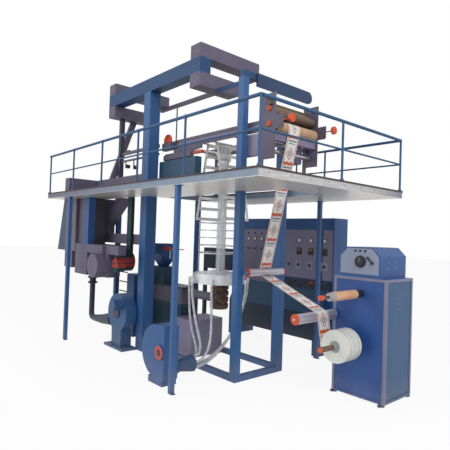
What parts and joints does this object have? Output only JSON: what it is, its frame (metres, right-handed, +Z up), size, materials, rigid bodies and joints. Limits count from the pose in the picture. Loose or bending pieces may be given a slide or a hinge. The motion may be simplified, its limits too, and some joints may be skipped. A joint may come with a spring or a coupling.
{
  "type": "blown film extrusion machine",
  "caption": "Blown film line: extruder and die below a railed working deck, haul-off tower above, winder, control cabinet and a printing unit.",
  "frame": {"origin": "middle of the footprint on the floor, under the machine", "axes": "+X along the deck's front towards the winder's right side, +Y away from the deck's front fascia, +Z up"},
  "size_m": [6.452, 3.548, 4.8],
  "materials": {
    "bright_aluminium": "turned aluminium",
    "bright_steel": "turned steel",
    "brown_steel": "browned steel",
    "clear_film": "thin clear film",
    "cream_paper": "cream paper",
    "dark_paint": "dark blue-green enamel",
    "die_brass": "brass heater bands, dulled",
    "fascia_blue": "pale blue-grey enamel",
    "frame_blue": "blue enamel, satin",
    "hose_grey": "light grey hose",
    "light_grey": "grey enamel",
    "machine_blue": "blue enamel, satin, worn",
    "orange_paint": "orange-red enamel",
    "printed_film": "printed film",
    "purple_grey": "purple-grey enamel",
    "soffit_steel": "bright sheet, streaked",
    "tan_rubber": "tan nip rubber",
    "tread_brown": "dark brown deck plate",
    "white_film": "wound white film",
    "white_slat": "white slats"
  },
  "bodies": {
    "frame": {"air_manifold": "dark_paint", "air_ring": "bright_aluminium", "base_frame": "frame_blue", "blower_front": "machine_blue", "blower_left": "machine_blue", "bubble_cage": "bright_steel", "collapsing_frame": "white_slat", "column_far_left": "dark_paint", "column_front_left": "frame_blue", "column_front_right": "frame_blue", "columns_back": "frame_blue", "control_cabinet": "machine_blue", "control_desk": "dark_paint", "cross_beams": "purple_grey", "deck_floor": "tread_brown", "deck_frame": "fascia_blue", "deck_posts": "frame_blue", "deck_soffit": "soffit_steel", "die_head": "die_brass", "extruder_barrel": "machine_blue", "extruder_base": "machine_blue", "extruder_hopper": "machine_blue", "extruder_motor_box": "dark_paint", "film_bubble": "clear_film", "film_strip": "printed_film", "guide_brackets": "frame_blue", "handrail_back": "frame_blue", "handrail_front": "frame_blue", "handrail_side": "frame_blue", "haul_off_frame_back": "purple_grey", "haul_off_frame_front": "purple_grey", "haul_off_rollers": "bright_steel", "hose_1": "hose_grey", "hose_2": "hose_grey", "hose_3": "hose_grey", "hose_4": "hose_grey", "hose_5": "hose_grey", "low_long_beam": "purple_grey", "name_board": "frame_blue", "nip_handwheels": "orange_paint", "nip_roller_rubber": "tan_rubber", "nip_roller_steel": "brown_steel", "printing_column": "machine_blue", "printing_gear_case": "purple_grey", "printing_rollers": "dark_paint", "printing_side": "dark_paint", "printing_support": "purple_grey", "printing_unit": "purple_grey", "rear_switch_box": "dark_paint", "top_back_beam": "purple_grey", "top_long_beam": "frame_blue", "top_tie_beam": "frame_blue", "winder_cabinet": "machine_blue", "winder_top_box": "light_grey"},
    "winding": {"winding_shaft": "brown_steel", "film_reel": "white_film"},
    "spindle": {"roll_spindle": "bright_steel", "paper_roll": "cream_paper"},
    "upper_guide": {"guide_roller_upper": "bright_aluminium"},
    "lower_guide": {"guide_roller_lower": "bright_aluminium"}
  },
  "joints": [
    {"name": "winding_turn", "type": "hinge", "parent": "frame", "child": "winding", "pos_m": [2.823, -0.421, 0.705], "axis": [0, 1, 0], "continuous": true},
    {"name": "spindle_turn", "type": "hinge", "parent": "frame", "child": "spindle", "pos_m": [2.878, -0.561, 1.315], "axis": [0, 1, 0], "continuous": true},
    {"name": "upper_guide_turn", "type": "hinge", "parent": "frame", "child": "upper_guide", "pos_m": [1.603, -0.356, 1.485], "axis": [0, 1, 0], "continuous": true},
    {"name": "lower_guide_turn", "type": "hinge", "parent": "frame", "child": "lower_guide", "pos_m": [2.507, -0.391, 1.01], "axis": [0, 1, 0], "continuous": true}
  ]
}
